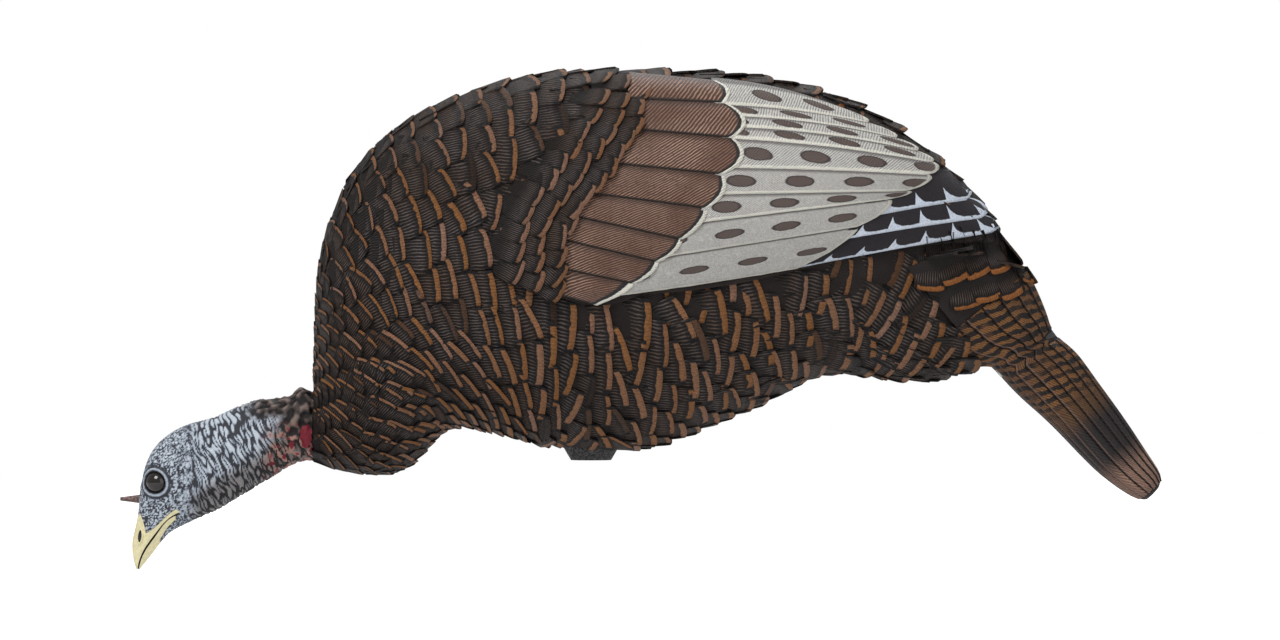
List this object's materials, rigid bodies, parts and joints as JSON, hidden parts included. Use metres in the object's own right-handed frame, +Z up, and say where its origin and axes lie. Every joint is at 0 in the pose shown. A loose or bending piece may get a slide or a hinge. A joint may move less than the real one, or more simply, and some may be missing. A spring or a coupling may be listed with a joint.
{
  "type": "turkey decoy",
  "caption": "Life-size feeding hen turkey decoy: hollow body that turns on a ground stake, head that turns and pulls out, pull-off tail and a belly air valve.",
  "frame": {"origin": "mouth of the stake bore, at the centre of the boss's flat foot under the belly", "axes": "+Z up along the stake bore, +X towards the tail and -X towards the beak, +Y to the bird's right; the plane Y = 0 is the middle plane"},
  "size_m": [0.7643, 0.217, 0.3663],
  "materials": {
    "body_vinyl": "matt painted vinyl, dark brown-black",
    "wing_vinyl": "matt painted vinyl, bronze and off-white",
    "tail_vinyl": "matt painted vinyl, brown with a pale tip",
    "head_vinyl": "matt painted vinyl, blue-grey skin",
    "beak_vinyl": "satin painted, cream horn",
    "eye_gloss": "gloss black-brown",
    "snood_vinyl": "matt painted vinyl, dark",
    "boss_plastic": "matt stippled black",
    "inner_plastic": "matt black moulding",
    "bush_nylon": "natural nylon, satin",
    "zinc_steel": "bright zinc plated",
    "spring_steel": "dark phosphated spring steel",
    "seal_rubber": "soft black rubber",
    "bung_rubber": "soft dark grey rubber"
  },
  "bodies": {
    "stake_pivot": {"pivot_tube": "zinc_steel", "retaining_clip": "spring_steel", "thrust_washer": "zinc_steel"},
    "body": {"body_shell": "body_vinyl", "left_wing": "wing_vinyl", "right_wing": "wing_vinyl", "stake_housing": "boss_plastic", "lower_bush": "bush_nylon", "upper_bush": "bush_nylon", "housing_cap": "inner_plastic", "sealing_pad": "seal_rubber", "clamp_nut": "inner_plastic", "neck_socket": "inner_plastic", "tail_pocket": "inner_plastic", "valve_seat": "inner_plastic"},
    "neck_ring": {"neck_ring": "bush_nylon", "stop_pin": "zinc_steel"},
    "head": {"head_skin": "head_vinyl", "upper_beak": "beak_vinyl", "lower_beak": "beak_vinyl", "left_eye": "eye_gloss", "right_eye": "eye_gloss", "snood": "snood_vinyl", "neck_plug": "inner_plastic", "plug_ring_seal": "seal_rubber"},
    "tail": {"tail_fan": "tail_vinyl", "tail_tang": "inner_plastic", "tang_screws": "zinc_steel"},
    "valve_bung": {"valve_bung": "bung_rubber"}
  },
  "joints": [
    {"name": "swivel", "type": "hinge", "parent": "stake_pivot", "child": "body", "pos_m": [0, 0, 0.05], "axis": [0, 0, 1], "continuous": true},
    {"name": "head_turn", "type": "hinge", "parent": "body", "child": "neck_ring", "pos_m": [-0.203, 0, 0.0235], "axis": [-1, 0, 0], "range_deg": [-40, 40]},
    {"name": "head_pull", "type": "slide", "parent": "neck_ring", "child": "head", "axis": [-1, 0, 0], "range_m": [0, 0.045]},
    {"name": "tail_pull", "type": "slide", "parent": "body", "child": "tail", "axis": [0.6493, 0, -0.7606], "range_m": [0, 0.06]},
    {"name": "valve_pull", "type": "slide", "parent": "body", "child": "valve_bung", "axis": [0.328, 0.4256, -0.8434], "range_m": [0, 0.02]}
  ]
}
